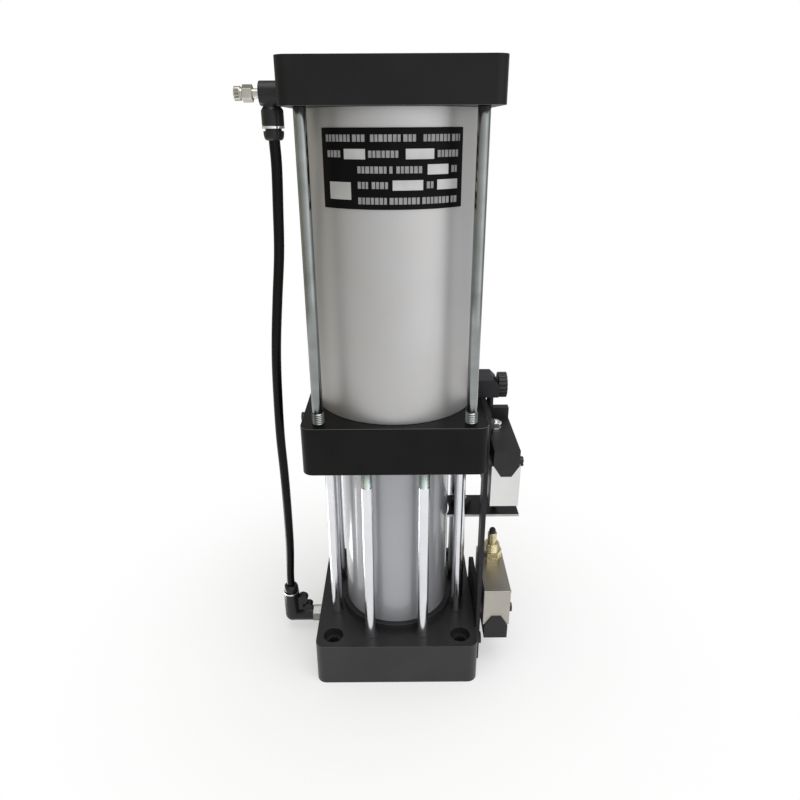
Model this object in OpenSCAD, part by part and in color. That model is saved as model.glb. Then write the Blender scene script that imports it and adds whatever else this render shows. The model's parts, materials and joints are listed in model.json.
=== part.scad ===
// Air-over-oil pressure booster cylinder with a trip arm, two limit switches and an air hose.
// Millimetres, +Z up. Origin on the cylinder axis at the underside of the base plate. Front is -Y.

/* [Plates] */
// Side of the three square plates
plate_w = 120; // [118:1:126]
// Radius of the plates' upright corners
corner_r = 7; // [4:0.5:10]
// Thickness of the base plate
base_t = 34.5; // [32:0.5:36]
// Thickness of the middle plate
middle_t = 33; // [31:0.5:35]
// Thickness of the top plate
top_t = 23.5; // [22:0.5:28]

/* [Tubes] */
// Bore of the air tube
upper_bore = 100; // [96:1:101]
// Wall of the air tube
upper_wall = 4.5; // [3.5:0.5:5]
// Length of the air tube between the plates
upper_len = 184; // [168:1:200]
// Bore of the oil tube
lower_bore = 63; // [61:1:64]
// Wall of the oil tube
lower_wall = 8; // [7:0.5:8]
// Length of the oil tube
lower_len = 139; // [129:1:145]
// Height of the black collar under the oil tube
collar_h = 5; // [3:0.5:7]
// Diameter of that collar
collar_d = 86; // [80:0.5:86]
// Length of the spigots that locate the tubes
spigot_h = 8; // [7:0.5:9]

/* [Tie rods] */
// Shank diameter of the upper tie rods
upper_rod_d = 7; // [6:0.5:7.5]
// Thread diameter of the upper tie rods
rod_thread_d = 8; // [8:0.5:8.5]
// Diameter of the lower tie rods
lower_rod_d = 8; // [7:0.5:9]
// Pitch circle of the lower tie rods
lower_rod_circle = 101; // [100:0.5:103]
// Depth that the rods screw into the plates
rod_seat = 18; // [14:0.5:19]

/* [Base mounting] */
// Distance of the mounting holes from the plate edge
mount_edge = 12.5; // [12:0.5:15]
// Mounting hole diameter
mount_hole_d = 9; // [6.6:0.1:11]
// Counterbore diameter for the screw head
mount_cbore_d = 15; // [12:0.5:17]
// Counterbore depth
mount_cbore_h = 6; // [5:0.5:12]

/* [Booster piston] */
// Plunger diameter
plunger_d = 23; // [20:0.5:24]
// Travel of the booster piston
booster_stroke = 110; // [80:1:110]
// Thickness of the booster piston
booster_t = 22; // [20:1:26]

/* [Ram] */
// Ram diameter
ram_d = 36; // [34:0.5:37]
// Travel of the ram
ram_stroke = 16; // [10:0.5:16]
// Thickness of the ram's piston
ram_piston_t = 25; // [22:1:28]
// Tool thread at the ram's end
ram_thread_d = 16; // [12:0.5:18]
// Length of the tool thread
ram_thread_len = 26; // [20:1:30]

/* [Trip arm] */
// Trip rod diameter
trip_rod_d = 8; // [7:0.5:8.5]
// Width of the trip arm
arm_w = 28; // [22:0.5:28.5]
// Thickness of the trip arm
arm_t = 2; // [1.5:0.25:3]
// Reach of the trip arm from the cylinder axis
arm_reach = 92; // [88:0.5:96]

/* [Air fittings] */
// Hose outside diameter
hose_d = 6.4; // [5.8:0.1:6.5]
// Outside diameter of the push-in bodies
push_d = 12.4; // [12:0.1:12.8]
// Travel of the release collets
collet_travel = 0.8; // [0.5:0.1:0.9]
// Height of the upper fitting's port under the top face
flow_drop = 16.5; // [11:0.25:16.75]
// Height of the lower fitting's port above the floor
elbow_z = 14.5; // [13.5:0.25:15]

/* [Limit switches] */
// Width of a switch body
switch_w = 17.4; // [16:0.2:17.8]
// Length of a switch body
switch_len = 57; // [55:1:60]
// Height of a switch with its cover
switch_h = 43; // [40:0.5:45]
// Sheet thickness of the switch covers
sheet_t = 1; // [0.8:0.1:1.2]
// Thickness of the bracket sheet
bracket_t = 3; // [2.5:0.1:3]
// Height of the lower switch above the floor
lower_switch_z = 28.5; // [25.5:0.25:29]
// Threaded length of the lower switch's bush
lower_bush_len = 24.75; // [23:0.25:26]
// Threaded length of the upper switch's bush
upper_bush_len = 22.5; // [18:0.25:24]
// How far a switch plunger stands out
plunger_out = 3.5; // [3.2:0.1:4]

/* [Clearances] */
// Radial gap of running fits
run_gap = 0.05; // [0.02:0.01:0.1]
// Radial gap of the spigots in their tubes
spigot_gap = 0.05; // [0:0.01:0.1]
// Gap between pieces that move past each other
move_gap = 0.4; // [0.3:0.05:0.6]

/* [Hidden] */
$fn = 64;
half = plate_w / 2;
upper_r = upper_bore / 2 + upper_wall;
lower_r = lower_bore / 2 + lower_wall;
z_collar = base_t + collar_h;
z_mid = z_collar + lower_len;
z_midtop = z_mid + middle_t;
z_top = z_midtop + upper_len;
z_cap = z_top + top_t;
rod_p = half - 11;
mount_p = half - mount_edge;
rod_nut_h = 5;
rod_nut_af = 13;
rod_nut_room = 17;
rod_thread_len = 7;
groove_w = 3;
groove_d = 2.5;
groove_in = 2.5;
piston_groove_d = 4;
piston_groove_in = 4;
pocket_h = 12;
yoke_t = 10;
yoke_z = 1;
yoke_room = 1.5;
lip_t = 4;
seal_h = 6;
bush_wall = 4;
ram_r = ram_d / 2;
ram_bush_r = ram_r + bush_wall;
ram_neck_r = ram_r - 3;
yoke_r = ram_bush_r - 2;
trip_x = (lower_r + half) / 2;
trip_r = trip_rod_d / 2;
trip_bush_r = trip_r + 2.5;
plunger_r = plunger_d / 2;
plunger_bush_r = plunger_r + 5.5;
plunger_neck_r = 8;
plunger_tip = z_mid + 3;
plunger_seal_z = z_mid + 8;
plunger_seal_h = 7;
plunger_nut_h = 9;
plunger_nut_af = 24;
plunger_nut_room = 15;
tap_r = 4.86;
tap_depth = 12;
stud_len = 10;
flange_r = 5.8;
flange_t = 1.5;
port_r = 6.58;
port_depth = 13;
port_way_r = 3;
port_way_y = 37;
mid_port_z = z_mid + 15;
m5_r = 2.5;
m5_len = 9;
m4_r = 2;
ram_spare = 26;
z_ramp = z_collar + spigot_h + ram_stroke + ram_spare;
ram_core_r = plunger_r + 1.5;
core_spare = 10;
ram_core_z = plunger_tip - booster_stroke - core_spare;
booster_top = z_top - spigot_h - 2;
booster_z = booster_top - booster_t;
bracket_x = half + 0.2;
bracket_out = bracket_x + bracket_t;
front_y = -45;
cover_w = switch_w + 2 * sheet_t;
spacer_t = 1.6;
switch_x = bracket_out + spacer_t + cover_w / 2;
bush_y = -5;
shoulder_h = 11.5;
ridge_h = 19.5;
ridge_w = 3.6;
bush_r = 6;
bush_neck_r = 3.6;
bush_neck = 9;
bush_flange = 4;
nut_h = 4;
bush_nut_af = 14;
bush_washer_r = 7.4;
lower_top = lower_switch_z + switch_h;
lower_tip = lower_top + lower_bush_len + plunger_out;
arm_z = lower_tip + move_gap + ram_stroke;
arm_top = arm_z + arm_t;
upper_cover_z = arm_top + move_gap + plunger_out + upper_bush_len;
upper_top = upper_cover_z + switch_h;
screw_h = 16;
screw_y1 = front_y + 15.5;
screw_washer_r = 3.9;
screw_washer_t = 1.4;
screw_head_r = 3.5;
screw_head = 2.8;
screw_y2 = front_y + switch_len - 7;
setting_y = front_y + switch_len - 26;
base_screw_y = [-30, 10];
base_screw_z = 15;
mid_screw_y = [-33, 10];
mid_screw_z = z_mid + 23;
bleed_y = -22;
bleed_z = z_mid + 24.5;
bleed_head_r = 3.3;
bleed_head = 3.8;
flow_y = -30;
spool_r = 4;
spool_len = 11;
needle_r = 2.5;
needle_out = 22.5;
needle_neck_r = 2.9;
needle_neck = 0.8;
needle_knob_r = 3.8;
needle_knob_t = 3.5;
needle_knurl_r = 0.6;
needle_knurls = 12;
lock_nut_af = 8;
lock_nut_h = 5.5;
lock_nut_gap = 0.3;
flow_z = z_cap - flow_drop;
cap_port_z = z_cap - top_t / 2;
flow_x = -half - 0.6 - push_d / 2;
elbow_x = -half - 26;
push_r = push_d / 2;
sleeve_r = 4.6;
sleeve_depth = 7.5;
flow_arm = 16.5;
flow_neck_r = 4.9;
flow_neck = 6.6;
flow_shoulder = 2;
elbow_arm = 21.5;
ring_t = 1.4;
collet_out = ring_t + collet_travel + move_gap;
elbow_hex_af = 12;
bump_w = 6;
bump_r = 4;
bump_x = 9;
bump_z = 15;
low_bump_r = 3.2;
low_bump_z = 8;
web_z = 4;
elbow_neck = 9;
hose_r = hose_d / 2;
hose_bore = hose_r + 0.15;
foot_top = 58.5;
head_h = 30.5;
bracket_back = 20;
bracket_low = 3;
foot_round = 8;
head_low = upper_top - head_h;
strip_y = -40;
strip_w = 12;
label_t = 0.6;
label_glue = 0.1;
label_h = 42;
label_z = z_top - 10.5 - label_h;
knob_y = 0.5;
knob_r = 9;
knob_t = 6;
block_w = 15.5;
block_d = 23;
block_h = 13;
block_slope = 4;
block_x = half - 3.5;
knob_z = z_midtop + 5.5;

module rounded_block(w, t, r) {
    translate([-w / 2 + r, -w / 2, 0]) cube([w - 2 * r, w, t]);
    translate([-w / 2, -w / 2 + r, 0]) cube([w, w - 2 * r, t]);
    for (sx = [-1, 1], sy = [-1, 1])
        translate([sx * (w / 2 - r), sy * (w / 2 - r), 0]) cylinder(r = r, h = t);
}

module ring(ro, ri, z0, z1) {
    translate([0, 0, z0]) difference() {
        cylinder(r = ro, h = z1 - z0);
        translate([0, 0, -1]) cylinder(r = ri, h = z1 - z0 + 2);
    }
}

module groove_ring(ro, bore, z) {
    ring(ro, bore / 2 - groove_d, z, z + groove_w);
}

module rod(r, z0, z1) {
    translate([0, 0, z0]) cylinder(r = r, h = z1 - z0);
}

module rod_x(r, x0, x1) {
    translate([x0, 0, 0]) rotate([0, 90, 0]) cylinder(r = r, h = x1 - x0);
}

module rod_y(r, y0, y1) {
    translate([0, y1, 0]) rotate([90, 0, 0]) cylinder(r = r, h = y1 - y0);
}

module hex(af, z0, z1) {
    translate([0, 0, z0]) cylinder(d = af / cos(30), h = z1 - z0, $fn = 6);
}

module corners(p) {
    for (sx = [-1, 1], sy = [-1, 1]) translate([sx * p, sy * p, 0]) children();
}

module lower_rod_places() {
    for (i = [0:7]) rotate([0, 0, 22.5 + 45 * i]) translate([lower_rod_circle / 2, 0, 0]) children();
}

module base_plate() {
    slot_r = trip_bush_r + yoke_room;
    oil_x = -ram_bush_r - 4;
    color([0.06, 0.06, 0.07]) difference() {
        union() {
            rounded_block(plate_w, base_t, corner_r);
            rod(collar_d / 2, base_t, z_collar);
            rod(lower_bore / 2 - spigot_gap, z_collar, z_collar + spigot_h);
        }
        rod(yoke_r + yoke_room, -1, pocket_h);
        translate([0, -slot_r, -1]) cube([trip_x, 2 * slot_r, pocket_h + 1]);
        translate([trip_x, 0, 0]) rod(slot_r, -1, pocket_h);
        rod(ram_r + move_gap, 0, z_collar);
        rod(ram_bush_r, pocket_h + lip_t, z_collar + spigot_h + 1);
        translate([trip_x, 0, 0]) rod(trip_r + move_gap, 0, base_t);
        translate([trip_x, 0, 0]) rod(trip_bush_r, pocket_h + lip_t, base_t + 1);
        corners(mount_p) rod(mount_hole_d / 2, -1, base_t + 1);
        corners(mount_p) rod(mount_cbore_d / 2, base_t - mount_cbore_h, base_t + 1);
        lower_rod_places() rod(lower_rod_d / 2, base_t - rod_seat, base_t + 1);
        translate([0, 0, elbow_z]) rod_x(tap_r, -half - 1, -half + tap_depth);
        translate([0, 0, elbow_z]) rod_x(2, -half + tap_depth - 1, oil_x);
        translate([oil_x, 0, 0]) rod(1.5, elbow_z, z_collar + spigot_h + 1);
        groove_ring(lower_bore, lower_bore, z_collar + groove_in);
        for (y = base_screw_y) translate([0, y, base_screw_z]) rod_x(m5_r, half - m5_len, half + 1);
    }
}

module lower_tube() {
    color([0.72, 0.72, 0.7]) ring(lower_r, lower_bore / 2, z_collar, z_mid);
}

module lower_tie_rods() {
    color([0.8, 0.82, 0.82]) lower_rod_places() rod(lower_rod_d / 2, base_t - rod_seat, z_mid + rod_seat);
}

module lower_tube_seals() {
    color([0.05, 0.05, 0.05]) {
        groove_ring(lower_bore / 2, lower_bore, z_collar + groove_in);
        groove_ring(lower_bore / 2, lower_bore, z_mid - groove_in - groove_w);
    }
}

module middle_plate() {
    color([0.06, 0.06, 0.07]) difference() {
        union() {
            translate([0, 0, z_mid]) rounded_block(plate_w, middle_t, corner_r);
            rod(lower_bore / 2 - spigot_gap, z_mid - spigot_h, z_mid);
            rod(upper_bore / 2 - spigot_gap, z_midtop, z_midtop + spigot_h);
        }
        rod(plunger_r + move_gap, z_mid - spigot_h - 1, z_midtop);
        rod(plunger_bush_r, plunger_seal_z, z_midtop + spigot_h + 1);
        lower_rod_places() rod(lower_rod_d / 2, z_mid - 1, z_mid + rod_seat);
        corners(rod_p) rod(rod_thread_d / 2, z_midtop - rod_seat, z_midtop + 1);
        groove_ring(lower_bore, lower_bore, z_mid - groove_in - groove_w);
        groove_ring(upper_bore, upper_bore, z_midtop + groove_in);
        translate([0, bleed_y, bleed_z]) rod_x(m5_r, -half - 1, -half + stud_len);
        translate([0, 0, mid_port_z]) rod_y(port_r, half - port_depth, half + 1);
        translate([0, 0, mid_port_z]) rod_y(port_way_r, port_way_y, half - port_depth + 1);
        translate([0, port_way_y, 0]) rod(port_way_r, mid_port_z, z_midtop + spigot_h + 1);
        for (y = mid_screw_y) translate([0, y, mid_screw_z]) rod_x(m5_r, half - m5_len, half + 1);
    }
}

module upper_tube() {
    color([0.78, 0.78, 0.75]) ring(upper_r, upper_bore / 2, z_midtop, z_top);
}

module upper_tie_rods() {
    color([0.66, 0.72, 0.69]) corners(rod_p) {
        rod(rod_thread_d / 2, z_midtop - rod_seat, z_midtop + rod_thread_len);
        rod(upper_rod_d / 2, z_midtop + rod_thread_len, z_top + 1);
        rod(rod_thread_d / 2, z_top + 1, z_cap - rod_nut_h);
    }
}

module upper_rod_nuts() {
    color([0.66, 0.7, 0.68]) corners(rod_p) difference() {
        hex(rod_nut_af, z_cap - 2 * rod_nut_h, z_cap - rod_nut_h);
        rod(rod_thread_d / 2, z_top, z_cap);
    }
}

module upper_tube_seals() {
    color([0.05, 0.05, 0.05]) {
        groove_ring(upper_bore / 2, upper_bore, z_midtop + groove_in);
        groove_ring(upper_bore / 2, upper_bore, z_top - groove_in - groove_w);
    }
}

module top_plate() {
    way_r = 2.5;
    way_x = -30;
    color([0.06, 0.06, 0.07]) difference() {
        union() {
            translate([0, 0, z_top]) rounded_block(plate_w, top_t, corner_r);
            rod(upper_bore / 2 - spigot_gap, z_top - spigot_h, z_top);
        }
        corners(rod_p) rod(rod_thread_d / 2 + move_gap, z_top - 1, z_cap + 1);
        corners(rod_p) rod(rod_nut_room / 2, z_cap - 2 * rod_nut_h, z_cap + 1);
        groove_ring(upper_bore, upper_bore, z_top - groove_in - groove_w);
        translate([0, flow_y, flow_z]) rod_x(tap_r, -half - 1, -half + tap_depth);
        translate([0, flow_y, flow_z]) rod_x(way_r, -half + tap_depth - 1, way_x);
        translate([way_x, flow_y, 0]) rod(way_r, z_top - spigot_h - 1, flow_z);
        translate([0, 0, cap_port_z]) rod_y(port_r, half - port_depth, half + 1);
        translate([0, 0, cap_port_z]) rod_y(port_way_r, port_way_y, half - port_depth + 1);
        translate([0, port_way_y, 0]) rod(port_way_r, z_top - spigot_h - 1, cap_port_z);
    }
}

module nameplate() {
    reach = upper_r + 10;
    color([0.04, 0.04, 0.05]) intersection() {
        ring(upper_r + label_glue + label_t, upper_r + label_glue, label_z, label_z + label_h);
        translate([0, 0, label_z]) linear_extrude(label_h)
            polygon([[0, 0], [-reach, -reach], [reach, -reach]]);
    }
}

module bleed_screw() {
    color([0.07, 0.07, 0.08]) translate([0, bleed_y, bleed_z]) {
        rod_x(m5_r, -half - 1, -half + stud_len);
        rod_x(bleed_head_r, -half - bleed_head, -half);
    }
}

module ram_bush() {
    color([0.75, 0.58, 0.3])
        ring(ram_bush_r, ram_r + run_gap, pocket_h + lip_t + seal_h, z_collar + spigot_h);
}

module ram_seal() {
    color([0.1, 0.25, 0.3]) ring(ram_bush_r, ram_r + run_gap, pocket_h + lip_t, pocket_h + lip_t + seal_h);
}

module trip_bush() {
    color([0.75, 0.58, 0.3]) translate([trip_x, 0, 0])
        ring(trip_bush_r, trip_r + run_gap, pocket_h + lip_t, base_t);
}

module plunger_bush() {
    color([0.75, 0.58, 0.3])
        ring(plunger_bush_r, plunger_r + run_gap, plunger_seal_z + plunger_seal_h, z_midtop + spigot_h);
}

module plunger_seal() {
    color([0.1, 0.25, 0.3])
        ring(plunger_bush_r, plunger_r + run_gap, plunger_seal_z, plunger_seal_z + plunger_seal_h);
}

module piston_grooves(z0, t) {
    for (z = [piston_groove_in, t - piston_groove_in - groove_w]) translate([0, 0, z0 + z]) children();
}

module booster_piston() {
    color([0.74, 0.74, 0.75]) difference() {
        rod(upper_bore / 2 - move_gap, booster_z, booster_top);
        rod(plunger_neck_r, booster_z - 1, booster_top + 1);
        rod(plunger_nut_room, booster_top - plunger_nut_h - 3, booster_top + 1);
        piston_grooves(booster_z, booster_t)
            ring(upper_bore, upper_bore / 2 - piston_groove_d, 0, groove_w);
    }
}

module booster_seals() {
    color([0.05, 0.05, 0.05]) piston_grooves(booster_z, booster_t)
        ring(upper_bore / 2 - run_gap, upper_bore / 2 - piston_groove_d, 0, groove_w);
}

module plunger_rod() {
    color([0.82, 0.83, 0.84]) {
        rod(plunger_r, plunger_tip, booster_z);
        rod(plunger_neck_r, booster_z, booster_top - 2);
    }
}

module plunger_nut() {
    color([0.7, 0.7, 0.7]) difference() {
        hex(plunger_nut_af, booster_top - plunger_nut_h - 3, booster_top - 3);
        rod(plunger_neck_r, booster_z, booster_top);
    }
}

module ram() {
    top = z_ramp + ram_piston_t;
    color([0.82, 0.83, 0.84]) difference() {
        union() {
            rod(ram_neck_r, yoke_z, yoke_z + yoke_t);
            rod(ram_r, yoke_z + yoke_t, z_ramp);
            rod(lower_bore / 2 - move_gap, z_ramp, top);
        }
        rod(ram_core_r, ram_core_z, top + 1);
        rod(ram_thread_d / 2, yoke_z - 1, yoke_z + ram_thread_len);
        piston_grooves(z_ramp, ram_piston_t)
            ring(lower_bore, lower_bore / 2 - piston_groove_d, 0, groove_w);
    }
}

module ram_piston_seals() {
    color([0.05, 0.05, 0.05]) piston_grooves(z_ramp, ram_piston_t)
        ring(lower_bore / 2 - run_gap, lower_bore / 2 - piston_groove_d, 0, groove_w);
}

module ram_yoke() {
    color([0.35, 0.35, 0.37]) difference() {
        union() {
            rod(yoke_r, yoke_z, yoke_z + yoke_t);
            translate([0, -trip_bush_r, yoke_z]) cube([trip_x, 2 * trip_bush_r, yoke_t]);
            translate([trip_x, 0, 0]) rod(trip_bush_r, yoke_z, yoke_z + yoke_t);
        }
        rod(ram_neck_r, 0, yoke_z + yoke_t + 1);
        translate([trip_x, 0, 0]) rod(trip_r, 0, yoke_z + yoke_t + 1);
    }
}

module trip_rod() {
    color([0.8, 0.82, 0.82]) translate([trip_x, 0, 0]) rod(trip_r, yoke_z, arm_top + rod_nut_h + 2);
}

module trip_arm() {
    color([0.07, 0.07, 0.08]) difference() {
        translate([20, -arm_w / 2, arm_z]) cube([arm_reach - 20, arm_w, arm_t]);
        rod(lower_r + 0.8, arm_z - 1, arm_top + 1);
        translate([trip_x, 0, 0]) rod(trip_r, arm_z - 1, arm_top + 1);
    }
}

module trip_nuts() {
    color([0.66, 0.7, 0.68]) translate([trip_x, 0, 0]) difference() {
        union() {
            hex(rod_nut_af, arm_z - rod_nut_h, arm_z);
            hex(rod_nut_af, arm_top, arm_top + rod_nut_h);
        }
        rod(trip_r, arm_z - rod_nut_h - 1, arm_top + rod_nut_h + 1);
    }
}

module flow_stud() {
    color([0.78, 0.76, 0.7]) translate([0, flow_y, flow_z]) difference() {
        union() {
            rod_x(tap_r, -half, -half + stud_len);
            rod_x(flange_r, -half - flange_t, -half);
            rod_x(spool_r, -half - spool_len, -half - flange_t);
        }
        rod_x(needle_r + run_gap, -half - spool_len - 1, -half + 3);
        rod_x(1.5, -half, -half + stud_len + 1);
    }
}

module push_sleeve() {
    neck_z = flow_arm - flow_neck;
    rotate_extrude() polygon([[0, 0], [push_r, 0], [push_r, neck_z - flow_shoulder], [flow_neck_r, neck_z],
        [flow_neck_r, flow_arm], [0, flow_arm]]);
}

module flow_body() {
    color([0.05, 0.05, 0.055]) difference() {
        union() {
            translate([0, flow_y, flow_z]) rod_x(6.4, -half - spool_len - 2, -half - flange_t);
            translate([flow_x, flow_y, flow_z - flow_arm]) push_sleeve();
        }
        translate([0, flow_y, flow_z]) rod_x(spool_r, -half - spool_len, -half);
        translate([0, flow_y, flow_z]) rod_x(flange_r + move_gap, -half - flange_t, -half);
        translate([0, flow_y, flow_z]) rod_x(needle_r + run_gap, -half - spool_len - 3, -half);
        translate([flow_x, flow_y, flow_z - flow_arm]) rod(sleeve_r + run_gap, -1, sleeve_depth);
    }
}

module collet() {
    difference() {
        union() {
            rotate_extrude() polygon([[0, -5], [hose_bore + 1.2, -5], [5.7, -1.5], [5.7, 0], [0, 0]]);
            rod(sleeve_r, 0, 7);
        }
        rod(hose_bore, -6, 8);
    }
}

module flow_collet() {
    color([0.05, 0.05, 0.055]) translate([flow_x, flow_y, flow_z - flow_arm - collet_out]) collet();
}

module flow_needle() {
    neck_x = -half - needle_out;
    knob_x = neck_x - needle_neck;
    end_x = knob_x - needle_knob_t;
    color([0.82, 0.78, 0.66]) translate([0, flow_y, flow_z]) difference() {
        union() {
            rod_x(needle_r, neck_x, -half + 2);
            rod_x(needle_neck_r, knob_x, neck_x);
            rod_x(needle_knob_r, end_x, knob_x);
        }
        for (i = [1:needle_knurls]) rotate([360 / needle_knurls * i, 0, 0]) translate([0, 0, needle_knob_r])
            rod_x(needle_knurl_r, end_x - 1, knob_x - needle_knurl_r);
    }
}

module flow_lock_nut() {
    nut_x = -half - needle_out + lock_nut_gap;
    color([0.82, 0.78, 0.66]) translate([0, flow_y, flow_z]) difference() {
        translate([nut_x, 0, 0]) rotate([0, 90, 0]) hex(lock_nut_af, 0, lock_nut_h);
        rod_x(needle_r, nut_x - 1, nut_x + lock_nut_h + 1);
    }
}

module elbow_stud() {
    color([0.78, 0.76, 0.7]) translate([0, 0, elbow_z]) difference() {
        union() {
            rod_x(tap_r, -half, -half + stud_len);
            translate([-half - elbow_neck, 0, 0]) rotate([0, 90, 0]) hex(elbow_hex_af, 0, elbow_neck);
            rod_x(4, elbow_x, -half - elbow_neck);
        }
        rod_x(2, elbow_x - 1, -half + stud_len + 1);
    }
}

module elbow_body() {
    low_bump_x = -half - elbow_neck - low_bump_r - move_gap - elbow_x;
    color([0.05, 0.05, 0.055]) difference() {
        union() {
            translate([0, 0, elbow_z]) rod_x(6, elbow_x, -half - elbow_neck);
            translate([elbow_x, 0, elbow_z]) sphere(r = push_r);
            translate([elbow_x, 0, 0]) rod(push_r, elbow_z, elbow_z + elbow_arm);
            translate([elbow_x + web_z, -bump_w / 2, elbow_z + web_z]) {
                cube([low_bump_x - web_z, bump_w, low_bump_z - web_z]);
                cube([bump_x - web_z, bump_w, bump_z - web_z + bump_r / 2]);
            }
            translate([elbow_x + bump_x, 0, elbow_z + bump_z]) rod_y(bump_r, -bump_w / 2, bump_w / 2);
            translate([elbow_x + low_bump_x, 0, elbow_z + low_bump_z])
                rod_y(low_bump_r, -bump_w / 2, bump_w / 2);
        }
        translate([0, 0, elbow_z]) rod_x(4, elbow_x, -half - elbow_neck + 1);
        translate([elbow_x, 0, elbow_z + elbow_arm]) rod(sleeve_r + run_gap, -sleeve_depth, 1);
        translate([elbow_x, 0, 0]) rod(2, elbow_z, elbow_z + elbow_arm - sleeve_depth + 1);
    }
}

module elbow_collet() {
    color([0.05, 0.05, 0.055]) translate([elbow_x, 0, elbow_z + elbow_arm + collet_out])
        mirror([0, 0, 1]) collet();
}

module fitting_rings() {
    color([0.85, 0.85, 0.84]) {
        translate([flow_x, flow_y, 0])
            ring(push_r, sleeve_r + run_gap, flow_z - flow_arm - ring_t, flow_z - flow_arm);
        translate([elbow_x, 0, 0])
            ring(push_r, sleeve_r + run_gap, elbow_z + elbow_arm, elbow_z + elbow_arm + ring_t);
    }
}

hose_sides = 10;
hose_low = flow_z - flow_arm;
hose_top = [[flow_x, flow_y, hose_low + 4], [flow_x, flow_y, hose_low - 7.5], [flow_x, -29, hose_low - 22]];
hose_mid = [[-68.5, -25.5, 340], [-70.5, -22.5, 314], [-74.5, -19, 284], [-77.5, -17, 259],
    [-79.5, -15, 237], [-81, -12.5, 210], [-82, -10, 181], [-82, -7.5, 150],
    [-82.5, -5, 117], [-83.5, -3, 83]];
hose_high = elbow_z + elbow_arm;
hose_end = [[elbow_x + 0.4, -0.6, hose_high + 20], [elbow_x, 0, hose_high + 9], [elbow_x, 0, hose_high - 4]];
hose_path = concat(hose_top, hose_mid, hose_end);

function spline(a, b, c, d, t) = 0.5 * (2 * b + (c - a) * t + (2 * a - 5 * b + 4 * c - d) * t * t
    + (3 * b - a - 3 * c + d) * t * t * t);
function clampi(i, n) = min(max(i, 0), n - 1);
function smooth(p) = concat([for (i = [0:len(p) - 2], t = [0, 0.5])
    spline(p[clampi(i - 1, len(p))], p[i], p[i + 1], p[clampi(i + 2, len(p))], t)], [p[len(p) - 1]]);
function unit(v) = v / norm(v);
function heading(p, i) = unit(p[clampi(i + 1, len(p))] - p[clampi(i - 1, len(p))]);
function across(t) = unit(cross(t, [0, 1, 0]));

module air_hose() {
    p = smooth(hose_path);
    n = len(p);
    s = hose_sides;
    pts = [for (i = [0:n - 1], k = [0:s - 1]) let (t = heading(p, i), u = across(t), v = cross(t, u))
        p[i] + hose_r * (cos(360 * k / s) * u + sin(360 * k / s) * v)];
    sides = [for (i = [0:n - 2], k = [0:s - 1])
        [i * s + k, i * s + (k + 1) % s, (i + 1) * s + (k + 1) % s, (i + 1) * s + k]];
    first = [[for (k = [0:s - 1]) s - 1 - k]];
    last = [[for (k = [0:s - 1]) (n - 1) * s + k]];
    color([0.03, 0.03, 0.03]) polyhedron(points = pts, faces = concat(sides, first, last), convexity = 6);
}

module sheet_yz(y0, y1, z0, z1) {
    translate([bracket_x, y0, z0]) cube([bracket_t, y1 - y0, z1 - z0]);
}

module switch_bracket() {
    color([0.07, 0.07, 0.08]) difference() {
        union() {
            sheet_yz(strip_y, bracket_back, bracket_low, foot_top - foot_round);
            sheet_yz(strip_y, bracket_back - foot_round, foot_top - foot_round, foot_top);
            translate([0, bracket_back - foot_round, foot_top - foot_round])
                rod_x(foot_round, bracket_x, bracket_out);
            sheet_yz(strip_y, strip_y + strip_w, foot_top, head_low);
            sheet_yz(strip_y, bracket_back, head_low, z_midtop);
        }
        for (y = base_screw_y) translate([0, y, base_screw_z]) rod_x(m5_r, half, bracket_out + 1);
        for (y = mid_screw_y) translate([0, y, mid_screw_z]) rod_x(m5_r, half, bracket_out + 1);
        switch_screw_places() rod_x(m4_r, half, bracket_out + 1);
    }
}

module bracket_screws() {
    color([0.1, 0.1, 0.11]) {
        for (y = base_screw_y) translate([0, y, base_screw_z]) bracket_screw();
        for (y = mid_screw_y) translate([0, y, mid_screw_z]) bracket_screw();
    }
}

module bracket_screw() {
    difference() {
        union() {
            rod_x(m5_r, half - m5_len, bracket_out);
            rod_x(4.5, bracket_out, bracket_out + 2.6);
        }
        translate([bracket_out + 1, 0, 0]) rotate([0, 90, 0]) hex(3, 0, 3);
    }
}

module switch_screw_places() {
    for (y = [screw_y1, screw_y2], z = [lower_switch_z + screw_h, upper_top - screw_h])
        translate([0, y, z]) children();
}

module switch_spacers() {
    color([0.7, 0.7, 0.7]) switch_screw_places() difference() {
        rod_x(4, bracket_out, switch_x - cover_w / 2);
        rod_x(m4_r, bracket_out - 1, switch_x);
    }
}

module switch_screws() {
    out = switch_x + cover_w / 2;
    head_x = out + screw_washer_t;
    end_x = head_x + screw_head;
    color([0.12, 0.12, 0.13]) switch_screw_places() difference() {
        union() {
            rod_x(m4_r, bracket_x, out);
            rod_x(screw_washer_r, out, head_x);
            rod_x(screw_head_r, head_x, end_x);
        }
        translate([end_x - 1.2, -4, -0.5]) cube([2, 8, 1]);
    }
}

module body_profile() {
    w = switch_w / 2;
    polygon([[-w, 0], [w, 0], [w, shoulder_h], [ridge_w, ridge_h], [-ridge_w, ridge_h], [-w, shoulder_h]]);
}

module along_y(y0, y1) {
    translate([0, y1, 0]) rotate([90, 0, 0]) linear_extrude(y1 - y0) children();
}

module switch_body() {
    back = front_y + switch_len;
    difference() {
        union() {
            along_y(front_y, back) body_profile();
            translate([-7, front_y + 5, 11]) cube([14, switch_len - 10, switch_h - 17]);
            translate([-switch_w / 2, back - 4, -8]) cube([switch_w, 6, 12]);
        }
        for (y = [screw_y1, screw_y2]) translate([0, y, screw_h]) rod_x(m4_r, -20, 20);
    }
}

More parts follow.
